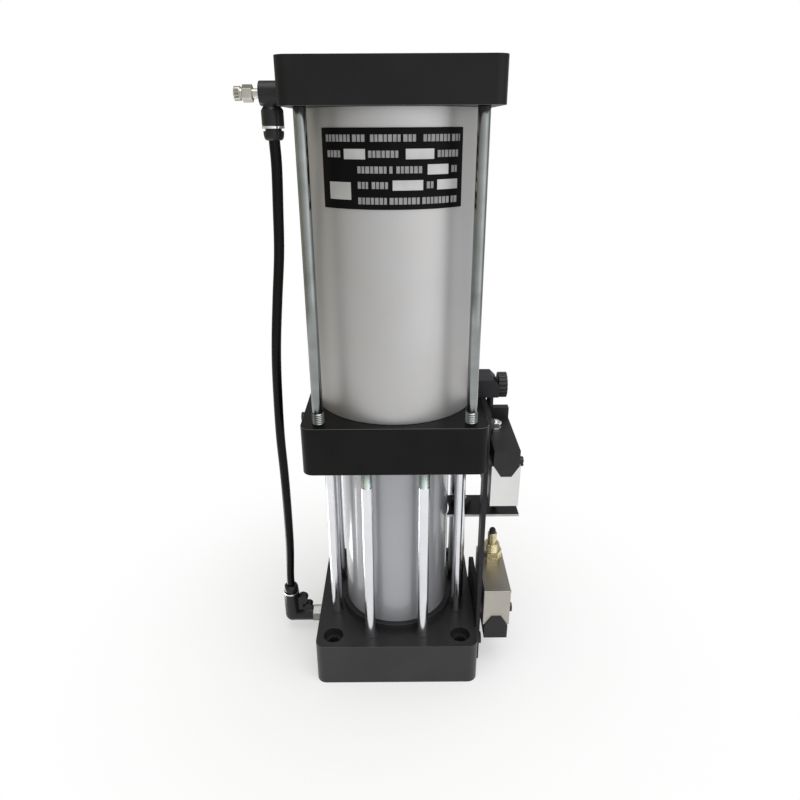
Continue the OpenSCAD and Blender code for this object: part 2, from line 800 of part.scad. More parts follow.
module switch_cover() {
    back = front_y + switch_len;
    y0 = front_y + 1;
    y1 = back - 1;
    difference() {
        translate([-cover_w / 2, y0, 12]) cube([cover_w, y1 - y0, switch_h - 12]);
        translate([-cover_w / 2 + sheet_t, y0 + sheet_t, 0])
            cube([cover_w - 2 * sheet_t, y1 - y0 - 2 * sheet_t, switch_h - sheet_t]);
        along_y(front_y - 1, back + 1) body_profile();
        translate([0, bush_y, 0]) rod(bush_r, switch_h - 3, switch_h + 1);
        for (y = [screw_y1, screw_y2]) translate([0, y, screw_h]) rod_x(m4_r, -20, 20);
    }
}

module switch_bush(len) {
    translate([0, bush_y, 0]) difference() {
        union() {
            rod(bush_r, switch_h - sheet_t, switch_h + len - bush_neck);
            rod(bush_neck_r, switch_h + len - bush_neck, switch_h + len);
            rod(bush_r + 1.5, switch_h - sheet_t - bush_flange, switch_h - sheet_t);
        }
        rod(2.5 + run_gap, switch_h - 10, switch_h + len + 1);
    }
}

module switch_plunger(len) {
    translate([0, bush_y, 0]) {
        rod(2.5, switch_h, switch_h + len + plunger_out - 1);
        rod(2, switch_h + len + plunger_out - 1, switch_h + len + plunger_out);
    }
}

module switch_nuts() {
    translate([0, bush_y, 0]) difference() {
        union() {
            hex(bush_nut_af, switch_h, switch_h + nut_h);
            rod(bush_washer_r, switch_h + nut_h, switch_h + nut_h + 1);
            hex(bush_nut_af, switch_h + nut_h + 1, switch_h + 2 * nut_h + 1);
        }
        rod(bush_r, switch_h - 1, switch_h + 2 * nut_h + 2);
    }
}

module place_lower() {
    translate([switch_x, 0, lower_switch_z]) children();
}

module place_upper() {
    translate([switch_x, 0, upper_top]) mirror([0, 0, 1]) children();
}

module lower_switch_body() {
    color([0.08, 0.08, 0.085]) place_lower() switch_body();
}

module lower_switch_cover() {
    color([0.62, 0.61, 0.56]) place_lower() switch_cover();
}

module lower_switch_bush() {
    color([0.75, 0.62, 0.3]) place_lower() switch_bush(lower_bush_len);
}

module lower_switch_plunger() {
    color([0.1, 0.1, 0.1]) place_lower() switch_plunger(lower_bush_len);
}

module upper_switch_body() {
    color([0.08, 0.08, 0.085]) place_upper() switch_body();
}

module upper_switch_cover() {
    color([0.75, 0.75, 0.74]) place_upper() switch_cover();
}

module upper_switch_bush() {
    color([0.75, 0.62, 0.3]) place_upper() switch_bush(upper_bush_len);
}

module upper_switch_plunger() {
    color([0.1, 0.1, 0.1]) place_upper() switch_plunger(upper_bush_len);
}

module bush_nuts() {
    color([0.78, 0.66, 0.34]) {
        place_lower() switch_nuts();
        place_upper() switch_nuts();
    }
}

module setting_stud() {
    color([0.8, 0.8, 0.8]) translate([switch_x - 4, setting_y, 0])
        rod(m4_r, upper_top, upper_top + 8.5);
}

module setting_nuts() {
    color([0.84, 0.84, 0.83]) translate([switch_x - 4, setting_y, 0]) difference() {
        union() {
            hex(7, upper_top, upper_top + 3.2);
            hex(7, upper_top + 4, upper_top + 7.2);
        }
        rod(m4_r, upper_top - 1, upper_top + 9);
    }
}

module hanger_stem() {
    color([0.07, 0.07, 0.08]) translate([switch_x - 5, front_y + switch_len - 1, 0])
        rod(2.5, upper_top + 8, z_midtop);
}

module adjuster_block() {
    color([0.07, 0.075, 0.075]) difference() {
        translate([block_x, knob_y - block_d / 2, z_midtop]) cube([block_w, block_d, block_h]);
        rod(upper_r + move_gap, z_midtop - 1, z_midtop + block_h + 1);
        translate([block_x + block_w, knob_y - block_d, z_midtop + block_h - block_slope])
            rotate([0, -45, 0]) cube([block_h, 2 * block_d, block_h]);
        translate([0, knob_y, knob_z]) rod_x(3 + run_gap, block_x + 7, block_x + block_w + 1);
    }
}

module adjuster_knob() {
    knob_x = block_x + block_w + 0.5;
    color([0.05, 0.05, 0.055]) translate([0, knob_y, knob_z]) difference() {
        union() {
            rod_x(3, block_x + 8, knob_x);
            rod_x(knob_r, knob_x, knob_x + knob_t);
        }
        rod_x(5, knob_x + knob_t - 1, knob_x + knob_t + 1);
        for (i = [0:17]) rotate([20 * i, 0, 0]) translate([0, 0, knob_r + 0.4])
            rod_x(1, knob_x - 0.1, knob_x + knob_t + 1);
    }
}

base_plate();
lower_tube();
lower_tie_rods();
lower_tube_seals();
middle_plate();
upper_tube();
upper_tie_rods();
upper_rod_nuts();
upper_tube_seals();
top_plate();
nameplate();
bleed_screw();
ram_bush();
ram_seal();
trip_bush();
plunger_bush();
plunger_seal();
booster_piston();
booster_seals();
plunger_rod();
plunger_nut();
ram();
ram_piston_seals();
ram_yoke();
trip_rod();
trip_arm();
trip_nuts();
flow_stud();
flow_body();
flow_collet();
flow_needle();
flow_lock_nut();
elbow_stud();
elbow_body();
elbow_collet();
fitting_rings();
air_hose();
switch_bracket();
bracket_screws();
switch_spacers();
switch_screws();
lower_switch_body();
lower_switch_cover();
lower_switch_bush();
lower_switch_plunger();
upper_switch_body();
upper_switch_cover();
upper_switch_bush();
upper_switch_plunger();
bush_nuts();
setting_stud();
setting_nuts();
hanger_stem();
adjuster_block();
adjuster_knob();
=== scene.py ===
import json
import math

import bmesh
import bpy
from mathutils import Matrix, Vector


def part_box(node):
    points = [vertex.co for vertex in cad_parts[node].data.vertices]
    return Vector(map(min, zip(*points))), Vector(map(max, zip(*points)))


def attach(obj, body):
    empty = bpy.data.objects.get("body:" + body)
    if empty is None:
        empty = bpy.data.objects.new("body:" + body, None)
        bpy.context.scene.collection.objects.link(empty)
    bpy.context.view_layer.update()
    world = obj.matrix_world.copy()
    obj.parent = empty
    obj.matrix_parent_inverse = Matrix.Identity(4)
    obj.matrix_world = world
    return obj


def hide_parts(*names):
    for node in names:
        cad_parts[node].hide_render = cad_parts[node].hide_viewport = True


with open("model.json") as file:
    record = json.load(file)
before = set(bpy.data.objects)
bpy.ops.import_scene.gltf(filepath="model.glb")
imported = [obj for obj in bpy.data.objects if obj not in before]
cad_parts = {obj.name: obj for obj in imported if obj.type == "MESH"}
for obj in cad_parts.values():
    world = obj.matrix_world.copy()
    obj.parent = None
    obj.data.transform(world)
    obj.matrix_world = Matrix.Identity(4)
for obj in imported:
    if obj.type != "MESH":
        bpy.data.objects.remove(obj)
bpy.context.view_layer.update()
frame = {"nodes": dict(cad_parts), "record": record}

MM = 0.001
RECORD = frame["record"]
BODY = {node: body for body, nodes in RECORD["behaviour"]["bodies"].items() for node in nodes}
SLOT = {row["node"]: row["material_slot"] for row in RECORD["subparts"]}
SCENE = bpy.context.scene
SCENE.view_settings.view_transform = "Standard"

# Camera, fitted to the photograph, in millimetres, degrees and pixels of an 800 pixel square
CAMERA_AT = (2.54, -421.53, 385.34)
CAMERA_YAW = 0.13
CAMERA_PITCH = 23.09
CAMERA_ROLL = -0.31
CAMERA_NEAR = 10.0
FOCAL_PX = 641.48
IMAGE_PX = 800.0
SENSOR_MM = 36.0

# Hose route, in millimetres, with the points of the part's source
HOSE_D = 6.4
HOSE_ROUTE = [
    (-66.8, -30, 390), (-66.8, -30, 378.5), (-66.8, -29, 364), (-68.5, -25.5, 340),
    (-70.5, -22.5, 314), (-74.5, -19, 284), (-77.5, -17, 259), (-79.5, -15, 237),
    (-81, -12.5, 210), (-82, -10, 181), (-82, -7.5, 150), (-82.5, -5, 117),
    (-83.5, -3, 83), (-85.6, -0.6, 56), (-86, 0, 45), (-86, 0, 32),
]
HOSE_STEPS = 6
HOSE_ROUNDNESS = 8


# Nodes of a material

NOISE_LOW = 0.3
NOISE_HIGH = 0.7


class Nodes:
    """A material's node tree, with short calls for the nodes that the looks below share."""

    def __init__(self, name):
        self.material = bpy.data.materials.new(name)
        self.material.use_nodes = True
        self.tree = self.material.node_tree
        self.shader = self.tree.nodes["Principled BSDF"]

    def link(self, out, socket):
        self.tree.links.new(out, self.shader.inputs[socket] if isinstance(socket, str) else socket)

    def add(self, kind):
        return self.tree.nodes.new(kind)

    def noise(self, scale, stretch=(1, 1, 1), detail=4.0):
        """A noise in the object's own coordinates, in cells per metre."""
        place = self.add("ShaderNodeTexCoord")
        mapping = self.add("ShaderNodeMapping")
        mapping.inputs["Scale"].default_value = stretch
        texture = self.add("ShaderNodeTexNoise")
        texture.inputs["Scale"].default_value = scale
        texture.inputs["Detail"].default_value = detail
        self.link(place.outputs["Object"], mapping.inputs["Vector"])
        self.link(mapping.outputs["Vector"], texture.inputs["Vector"])
        return texture.outputs["Fac"]

    def spread(self, value, low, high):
        """The middle of a noise, spread from low to high."""
        node = self.add("ShaderNodeMapRange")
        node.inputs["From Min"].default_value = NOISE_LOW
        node.inputs["From Max"].default_value = NOISE_HIGH
        node.inputs["To Min"].default_value = low
        node.inputs["To Max"].default_value = high
        self.link(value, node.inputs["Value"])
        return node.outputs["Result"]

    def tint(self, value, first, second):
        """A colour between the first and the second, by a noise."""
        node = self.add("ShaderNodeMix")
        node.data_type = "RGBA"
        sockets = [s for s in node.inputs if s.type == "RGBA"]
        sockets[0].default_value = (*first, 1)
        sockets[1].default_value = (*second, 1)
        self.link(self.spread(value, 0, 1), node.inputs["Factor"])
        return [s for s in node.outputs if s.type == "RGBA"][0]

    def relief(self, height, strength, depth):
        node = self.add("ShaderNodeBump")
        node.inputs["Strength"].default_value = strength
        node.inputs["Distance"].default_value = depth
        self.link(height, node.inputs["Height"])
        self.link(node.outputs["Normal"], "Normal")


def look(name, colours, rough, metal=0.0, cloud=30, grain=900, stretch=(1, 1, 1), strength=0.1,
         depth=0.0001, **sockets):
    """A finish that varies between two colours and two roughnesses, with a fine relief."""
    nodes = Nodes(name)
    nodes.shader.inputs["Metallic"].default_value = metal
    for socket, value in sockets.items():
        nodes.shader.inputs[socket.replace("_", " ")].default_value = value
    clouds = nodes.noise(cloud)
    grains = nodes.noise(grain, stretch)
    nodes.link(nodes.tint(clouds, *colours), "Base Color")
    nodes.link(nodes.spread(grains, *rough), "Roughness")
    nodes.relief(grains, strength, depth)
    return nodes.material


# Finishes by material slot, and by node where a piece differs from its slot

DRAWN = (1, 1, 0.02)
TURNED = (0.05, 0.05, 1)
BRUSHED = (1, 0.04, 1)
PLATE = {"grain": 2600, "strength": 0.2, "depth": 0.00004}
TUBE = {"cloud": 18, "grain": 1400, "stretch": DRAWN, "depth": 0.00002}
COVER = {"metal": 1.0, "grain": 1500, "stretch": BRUSHED}
LOOK = {
    "plate_black": look("plate_black", [(0.007, 0.007, 0.0074), (0.011, 0.011, 0.0115)], (0.3, 0.42),
                        Specular_IOR_Level=0.17, **PLATE),
    # the middle plate's black is darker, with less sheen, than the other plates: painted shade
    "middle_plate": look("plate_black_middle_painted_shade", [(0.004, 0.004, 0.0044), (0.007, 0.007, 0.0074)],
                         (0.26, 0.38), Specular_IOR_Level=0.11, **PLATE),
    # the base plate's black is lighter and glossier than the other plates: painted light and sheen from
    # the front and above
    "base_plate": look("plate_black_base_painted_light", [(0.017, 0.0165, 0.018), (0.024, 0.0235, 0.025)],
                       (0.3, 0.42), Specular_IOR_Level=0.36, **PLATE),
    "tube_upper": look("tube_upper", [(0.465, 0.456, 0.44), (0.49, 0.49, 0.5)], (0.43, 0.49),
                       metal=0.75, strength=0.04, **TUBE),
    "tube_lower": look("tube_lower", [(0.35, 0.355, 0.375), (0.39, 0.395, 0.415)], (0.38, 0.44),
                       metal=0.45, strength=0.015, Coat_Weight=1.0, Coat_Roughness=0.08, **TUBE),
    "zinc_steel": look("zinc_steel", [(0.21, 0.228, 0.224), (0.31, 0.326, 0.32)], (0.14, 0.24),
                       metal=1.0, cloud=60, grain=1200, stretch=DRAWN, strength=0.06, depth=0.00003),
    "chrome_rod": look("chrome_rod", [(0.72, 0.73, 0.76), (0.8, 0.81, 0.84)], (0.16, 0.22),
                       metal=1.0, cloud=40, grain=1500, stretch=TURNED, strength=0.02, depth=0.00001),
    "seal_rubber": look("seal_rubber", [(0.015, 0.015, 0.015), (0.03, 0.03, 0.03)], (0.6, 0.8)),
    "bronze": look("bronze", [(0.48, 0.3, 0.13), (0.6, 0.4, 0.19)], (0.25, 0.4), metal=1.0,
                   stretch=TURNED),
    "piston_alloy": look("piston_alloy", [(0.6, 0.6, 0.62), (0.7, 0.7, 0.71)], (0.25, 0.4), metal=1.0,
                         stretch=TURNED),
    "plain_steel": look("plain_steel", [(0.35, 0.35, 0.37), (0.46, 0.46, 0.47)], (0.3, 0.45), metal=1.0),
    "label": look("label", [(0.002, 0.002, 0.0025), (0.004, 0.004, 0.0045)], (0.3, 0.42), grain=1500,
                  strength=0.05, Specular_IOR_Level=0.07),
    "bracket_black": look("bracket_black", [(0.008, 0.007, 0.009), (0.014, 0.013, 0.016)], (0.38, 0.55),
                          grain=1800, strength=0.2, depth=0.00005, Specular_IOR_Level=0.3),
    "screw_black": look("screw_black", [(0.014, 0.014, 0.015), (0.03, 0.03, 0.032)], (0.3, 0.45),
                        metal=0.4),
    "nickel_brass": look("nickel_brass", [(0.42, 0.4, 0.345), (0.52, 0.505, 0.45)], (0.16, 0.28),
                         metal=1.0, cloud=160),
    # the elbow stud's nickel is darker than the other nickel parts: painted shade
    "elbow_stud": look("nickel_painted_shade", [(0.2, 0.195, 0.18), (0.28, 0.275, 0.26)], (0.18, 0.3),
                       metal=1.0, cloud=160),
    "fitting_black": look("fitting_black", [(0.006, 0.006, 0.0065), (0.011, 0.011, 0.012)], (0.22, 0.34),
                          grain=2200, strength=0.12, depth=0.00004, Specular_IOR_Level=0.35),
    "bright_ring": look("bright_ring", [(0.76, 0.76, 0.75), (0.85, 0.85, 0.84)], (0.12, 0.22), metal=1.0),
    "hose": look("hose", [(0.002, 0.002, 0.002), (0.004, 0.004, 0.004)], (0.2, 0.3), grain=1200,
                 strength=0.06, depth=0.00003, Specular_IOR_Level=0.14),
    "switch_black": look("switch_black", [(0.01, 0.009, 0.01), (0.018, 0.016, 0.018)], (0.42, 0.58),
                         grain=2400, strength=0.3, depth=0.00005, Specular_IOR_Level=0.35),
    "cover_grey": look("cover_grey", [(0.4, 0.38, 0.34), (0.47, 0.45, 0.41)], (0.32, 0.44),
                       strength=0.06, **COVER),
    "cover_bright": look("cover_bright", [(0.66, 0.66, 0.65), (0.74, 0.74, 0.73)], (0.34, 0.44),
                         strength=0.05, **COVER),
    "bush_brass": look("bush_brass", [(0.56, 0.48, 0.28), (0.68, 0.61, 0.4)], (0.18, 0.32), metal=1.0,
                       cloud=120),
}

# Second finishes, for some faces of a piece or for the label's patches
PRINT_WHITE = look("label_print", [(0.2, 0.2, 0.2), (0.28, 0.28, 0.275)], (0.4, 0.5), cloud=200)
FIELD_SILVER = look("label_field", [(0.42, 0.42, 0.42), (0.52, 0.52, 0.52)], (0.4, 0.5), metal=0.4,
                    cloud=90)
ZINC_THREAD = look("zinc_thread", [(0.68, 0.78, 0.74), (0.78, 0.86, 0.82)], (0.26, 0.38), metal=1.0,
                   cloud=80)
# lighter, glossier black for the plates' rounded edges: a painted highlight
PLATE_EDGE_PAINTED_HIGHLIGHT = look("plate_edge_painted_highlight", [(0.055, 0.055, 0.056), (0.075, 0.075, 0.076)], (0.22, 0.34),
                  Specular_IOR_Level=0.8, **PLATE)
CUT_EDGE = look("cut_edge", [(0.36, 0.36, 0.36), (0.5, 0.5, 0.49)], (0.3, 0.45), metal=1.0, cloud=120)


# Meshes, with angles in degrees and distances in millimetres

SHARP = 32
CORNER = 35
FLAT = 0.4
EDGE_STEPS = 2
SOLID_WELD = 0.002
RING_WELD = 0.001
RING_FLAT = 0.0005
ROD_SIDES = 32
FINE_SIDES = 40
STUD_SIDES = 24


def piece(name, bm, material, body, nodes=()):
    """An object made from bm, shaded smooth between sharp edges, that rides on a body."""
    mesh = bpy.data.meshes.new(name)
    bm.to_mesh(mesh)
    bm.free()
    mesh.materials.append(material)
    mesh.shade_smooth()
    mesh.set_sharp_from_angle(angle=math.radians(SHARP))
    obj = bpy.data.objects.new(name, mesh)
    SCENE.collection.objects.link(obj)
    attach(obj, body)
    if nodes:
        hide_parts(*nodes)
    return obj


def finish_of(node):
    """The node's own finish, or the finish of its slot."""
    return LOOK.get(node, LOOK[SLOT[node]])


def stands_for(node, bm):
    """A piece that takes a node's place, body and finish, the finish coming from its slot where the node
    has none of its own.
    """
    return piece(f"{node}_finish", bm, finish_of(node), BODY[node], (node,))


def repaint(obj, material, chosen):
    """Gives a second finish to the chosen faces."""
    obj.data.materials.append(material)
    for face in obj.data.polygons:
        if chosen(face):
            face.material_index = 1


def weighted(obj):
    """Keeps flat faces flat beside their rounded edges."""
    modifier = obj.modifiers.new("weighted_normals", "WEIGHTED_NORMAL")
    modifier.keep_sharp = True
    return obj


def round_edges(bm, edges, size, steps):
    bmesh.ops.bevel(bm, geom=edges, offset=size * MM, segments=steps, profile=0.5, affect="EDGES",
                    clamp_overlap=True)


def dress(node, size):
    """A copy of a node's solid with its outer edges rounded by a size in millimetres."""
    bm = bmesh.new()
    bm.from_mesh(frame["nodes"][node].data)
    bmesh.ops.remove_doubles(bm, verts=bm.verts, dist=SOLID_WELD * MM)
    bmesh.ops.dissolve_limit(bm, angle_limit=math.radians(FLAT), verts=bm.verts, edges=bm.edges)
    corner = math.radians(CORNER)
    edges = [e for e in bm.edges
             if len(e.link_faces) == 2 and e.is_convex and e.calc_face_angle() > corner]
    round_edges(bm, edges, size, EDGE_STEPS)
    bmesh.ops.recalc_face_normals(bm, faces=bm.faces)
    return weighted(stands_for(node, bm))


class Turned:
    """A turned bar along Z, made ring by ring, with cut threads where they are asked for."""

    def __init__(self, bm, place, sides):
        self.bm = bm
        self.place = place
        self.sides = sides
        self.last = None
        self.first = None

    def point(self, r, z, turn):
        angle = 2 * math.pi * turn
        spot = self.place @ Vector((r * math.cos(angle), r * math.sin(angle), z))
        return self.bm.verts.new(spot * MM)

    def join(self, ring):
        if self.last is None:
            self.first = ring
        else:
            for i in range(self.sides):
                k = (i + 1) % self.sides
                self.bm.faces.new((self.last[i], self.last[k], ring[k], ring[i]))
        self.last = ring

    def ring(self, r, z):
        self.join([self.point(r, z, i / self.sides) for i in range(self.sides)])
        return self

    def thread(self, r, z0, z1, pitch, depth):
        """A thread whose crests reach r, from z0 up to z1."""
        profile = (r - depth, r - depth / 2, r, r - depth / 2)
        root = profile[0]
        per_turn = len(profile)
        rows = per_turn * (math.ceil((z1 - z0) / pitch) + 1)
        self.ring(root, z0)
        grid = []
        for i in range(self.sides):
            turn = i / self.sides
            column = []
            for k in range(rows + 1):
                z = z0 + (k / per_turn + turn - 1) * pitch
                radius = profile[k % per_turn] if z0 < z < z1 else root
                column.append(self.point(radius, min(max(z, z0), z1), turn))
            grid.append(column)
        for i in range(self.sides):
            lift = per_turn if i == self.sides - 1 else 0
            near, far = grid[i], grid[(i + 1) % self.sides]
            for k in range(rows - lift):
                self.bm.faces.new((near[k], far[k + lift], far[k + lift + 1], near[k + 1]))
        self.last = [column[-1] for column in grid]
        return self

    def close(self):
        """Closes both ends of a solid bar."""
        self.bm.faces.new(self.first[::-1])
        self.bm.faces.new(self.last)


def clean(bm):
    """Welds the rings of turned bars, drops what the weld left flat and closes what that opened."""
    bmesh.ops.remove_doubles(bm, verts=bm.verts, dist=RING_WELD * MM)
    bmesh.ops.dissolve_degenerate(bm, edges=bm.edges, dist=RING_FLAT * MM)
    bmesh.ops.holes_fill(bm, edges=[e for e in bm.edges if e.is_boundary])
    bmesh.ops.recalc_face_normals(bm, faces=bm.faces)
    return bm


def at(x, y, z=0.0):
    return Matrix.Translation((x, y, z))


def span(node):
    """A node's lowest and highest corners, in millimetres."""
    low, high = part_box(node)
    return low / MM, high / MM


def axis(low, high, z=0.0):
    """The upright axis through the middle of a box, from height z."""
    return at((low.x + high.x) / 2, (low.y + high.y) / 2, z)


def outward(node, up):
    """A node's axis, which points up or down from its inner end, and its length."""
    low, high = span(node)
    length = high.z - low.z
    if up:
        return axis(low, high, low.z), length
    return axis(low, high, high.z) @ Matrix.Rotation(math.pi, 4, "X"), length


# Plates, tubes and other solids with rounded edges, by the size of the edge in millimetres

PLATES = ("base_plate", "middle_plate", "top_plate")
DRESSED = {
    "base_plate": 0.8, "middle_plate": 0.8, "top_plate": 0.8, "upper_tube": 0.5, "lower_tube": 0.5,
    "nameplate": 0.12, "bleed_screw": 0.4, "trip_arm": 0.3, "trip_nuts": 0.4, "upper_rod_nuts": 0.4,
    "trip_rod": 0.5, "trip_bush": 0.3, "ram": 0.5, "ram_yoke": 0.5,
    "flow_stud": 0.3, "flow_body": 0.4, "flow_needle": 0.15, "flow_lock_nut": 0.25,
    "elbow_stud": 0.4, "elbow_body": 0.3, "fitting_rings": 0.2,
    "switch_bracket": 0.35, "bracket_screws": 0.3, "switch_spacers": 0.3, "switch_screws": 0.35,
    "lower_switch_body": 0.4, "lower_switch_cover": 0.25, "upper_switch_body": 0.4,
    "upper_switch_cover": 0.25, "lower_switch_plunger": 0.4, "upper_switch_plunger": 0.4,
    "bush_nuts": 0.4, "setting_nuts": 0.25, "hanger_stem": 0.3, "adjuster_block": 0.6,
    "adjuster_knob": 0.3,
}
SLOPE_LOW = 0.2
SLOPE_HIGH = 0.97
FACES_FRONT = -0.9


def inner_pieces():
    """Every solid takes its finish, for the sealed pieces that nothing below replaces."""
    for node, obj in frame["nodes"].items():
        obj.material_slots[0].material = finish_of(node)


def paint_edge_highlights(plate):
    """The rounded top and bottom edges of a plate, painted lighter and glossier as a painted highlight
    where they catch the light.
    """
    repaint(plate, PLATE_EDGE_PAINTED_HIGHLIGHT, lambda face: SLOPE_LOW < abs(face.normal.z) < SLOPE_HIGH)


def bare_edge(sheet):
    """The sheared front edge of a sheet, bare of its black finish."""
    repaint(sheet, CUT_EDGE, lambda face: face.normal.y < FACES_FRONT)


def dressed_pieces():
    """All solids with rounded edges, the bare cut edge of the trip arm and the painted highlight on the
    plates' edges.
    """
    pieces = {node: dress(node, size) for node, size in DRESSED.items()}
    bare_edge(pieces["trip_arm"])
    for node in PLATES:
        paint_edge_highlights(pieces[node])


# Tie rods, in millimetres

BASE_T = 34.5
ROD_P = 49.0
ROD_SHANK_R = 3.5
ROD_R = 4.0
ROD_PITCH = 1.25
ROD_DEPTH = 0.7
ROD_THREAD = 7.0
ROD_RUN_OUT = 0.4
ROD_SUNK = 1.0
ROD_END = 0.8
ROD_END_IN = 0.5
UPPER_PLACES = [at(sx * ROD_P, sy * ROD_P) for sx in (-1, 1) for sy in (-1, 1)]

LOWER_RODS = 8
LOWER_CIRCLE_R = 50.5
LOWER_THREAD = 16.0
LOWER_DEPTH = 0.45
LOWER_RUN_OUT = 0.6
LOWER_END = 0.5
LOWER_ANGLES = [math.radians(360 / LOWER_RODS * (k + 0.5)) for k in range(LOWER_RODS)]
LOWER_PLACES = [at(LOWER_CIRCLE_R * math.cos(a), LOWER_CIRCLE_R * math.sin(a)) for a in LOWER_ANGLES]

# dark rings at the lower rods' feet, a painted contact shadow
FOOT_R = 4.9
FOOT_H = 0.5
FOOT_SLOPE = 0.2
FOOT_LIFT = 0.01


def upper_rods():
    """Four rods with a thread at each end; the upper thread starts inside the top plate."""
    low, high = span("upper_tie_rods")
    tube_low, tube_high = span("upper_tube")
    seat = tube_low.z + ROD_THREAD
    top = tube_high.z + ROD_SUNK
    bm = bmesh.new()
    for place in UPPER_PLACES:
        rod = Turned(bm, place, ROD_SIDES)
        rod.ring(ROD_R - ROD_DEPTH, low.z)
        rod.thread(ROD_R, low.z, seat, ROD_PITCH, ROD_DEPTH)
        rod.ring(ROD_SHANK_R, seat + ROD_RUN_OUT).ring(ROD_SHANK_R, top - ROD_RUN_OUT)
        rod.thread(ROD_R, top, high.z - ROD_END, ROD_PITCH, ROD_DEPTH)
        rod.ring(ROD_R - ROD_DEPTH - ROD_END_IN, high.z).close()
    stands_for("upper_tie_rods", clean(bm))


def lower_rods():
    """Eight plain rods with a bright thread under the middle plate."""
    low, high = span("lower_tie_rods")
    start = span("lower_tube")[1].z - LOWER_THREAD
    bm = bmesh.new()
    for place in LOWER_PLACES:
        rod = Turned(bm, place, ROD_SIDES)
        rod.ring(ROD_R - LOWER_END, low.z).ring(ROD_R, low.z + LOWER_END)
        rod.ring(ROD_R, start - LOWER_RUN_OUT)
        rod.thread(ROD_R, start, high.z, ROD_PITCH, LOWER_DEPTH).close()
    rods = stands_for("lower_tie_rods", clean(bm))
    repaint(rods, ZINC_THREAD, lambda face: face.center.z > start * MM)


def rod_foot_painted_shadows():
    """A thin dark ring where each lower rod enters the base plate: a painted contact shadow, in the black
    rubber finish.
    """
    seat = span("base_plate")[0].z + BASE_T
    bm = bmesh.new()
    for place in LOWER_PLACES:
        foot = Turned(bm, place, ROD_SIDES)
        foot.ring(ROD_R, seat + FOOT_LIFT).ring(FOOT_R, seat + FOOT_LIFT)
        foot.ring(FOOT_R - FOOT_SLOPE, seat + FOOT_H).ring(ROD_R, seat + FOOT_H).join(foot.first)
    # the black rubber finish here is painted shadow where the rods meet the base plate
    piece("rod_foot_painted_shadows", clean(bm), LOOK["seal_rubber"], BODY["base_plate"])


# Threaded bushes of the switches and the setting stud, in millimetres

BUSH_R = 6.0
BUSH_BORE_R = 2.55
BUSH_FLANGE_R = 7.5
BUSH_NECK_R = 3.6
BUSH_NECK = 9.0
BUSH_FLANGE = 4.0
BUSH_PITCH = 1.0
BUSH_DEPTH = 0.5
BUSH_RUN_OUT = 0.6
BUSH_END_IN = 0.4
BUSH_CHAMFER = 0.5

STUD_R = 2.0
STUD_FOOT_R = 1.55
STUD_END_R = 1.3
STUD_END = 0.4
STUD_PITCH = 0.7
STUD_DEPTH = 0.4


def bush(node, up):
    """A bush with a flange at its inner end, a thread and a thin neck for the plunger."""
    place, length = outward(node, up)
    neck = length - BUSH_NECK
    bm = bmesh.new()
    bar = Turned(bm, place, FINE_SIDES)
    bar.ring(BUSH_BORE_R, 0).ring(BUSH_FLANGE_R, 0).ring(BUSH_FLANGE_R, BUSH_FLANGE)
    bar.ring(BUSH_R - BUSH_DEPTH, BUSH_FLANGE)
    bar.thread(BUSH_R, BUSH_FLANGE, neck - BUSH_RUN_OUT, BUSH_PITCH, BUSH_DEPTH)
    bar.ring(BUSH_R - BUSH_DEPTH - BUSH_END_IN, neck)
    bar.ring(BUSH_NECK_R, neck).ring(BUSH_NECK_R, length - BUSH_CHAMFER)
    bar.ring(BUSH_NECK_R - BUSH_CHAMFER, length).ring(BUSH_BORE_R, length)
    bar.join(bar.first)
    stands_for(node, clean(bm))


def setting_stud():
    low, high = span("setting_stud")
    bm = bmesh.new()
    bar = Turned(bm, axis(low, high), STUD_SIDES)
    bar.ring(STUD_FOOT_R, low.z)
    bar.thread(STUD_R, low.z, high.z - STUD_END, STUD_PITCH, STUD_DEPTH)
    bar.ring(STUD_END_R, high.z).close()
    stands_for("setting_stud", clean(bm))


# Release collets, in millimetres; a point of the rim is its radius and its height from the outer end

COLLET_SLEEVE_R = 4.6
COLLET_BORE_R = 3.35
COLLET_RIM = [(5.72, -5.0), (5.75, -3.6), (5.6, -2.2), (5.2, -1.0), (4.6, -0.25), (3.9, 0.0)]


def collet(node, up):
    """A sleeve with a wider rounded rim at its outer end."""
    place, length = outward(node, up)
    bm = bmesh.new()
    bar = Turned(bm, place, FINE_SIDES)
    bar.ring(COLLET_BORE_R, 0).ring(COLLET_SLEEVE_R, 0)
    bar.ring(COLLET_SLEEVE_R, length + COLLET_RIM[0][1])
    for r, z in COLLET_RIM:
        bar.ring(r, length + z)
    bar.ring(COLLET_BORE_R, length).join(bar.first)
    stands_for(node, clean(bm))


# Folded lip over the lower switch's cover, in millimetres

LIP_H = 1.3
LIP_OUT = 0.45
LIP_RISE = 0.1
LIP_ROUND = 0.3
LIP_STEPS = 3


def cover_lip():
    """The folded front edge of the cover's top, with a slight overhang."""
    low, high = span("lower_switch_cover")
    size = Vector((high.x - low.x + 2 * LIP_OUT, 2 * LIP_OUT, LIP_H))
    centre = Vector(((low.x + high.x) / 2, low.y, high.z + LIP_RISE - LIP_H / 2))
    bm = bmesh.new()
    bmesh.ops.create_cube(bm, size=1)
    for v in bm.verts:
        v.co = (centre + v.co * size) * MM
    round_edges(bm, bm.edges[:], LIP_ROUND, LIP_STEPS)
    weighted(piece("lower_switch_lip", bm, LOOK["cover_grey"], BODY["lower_switch_cover"]))


# Label, in millimetres and degrees, with its rows in shares of its width and height

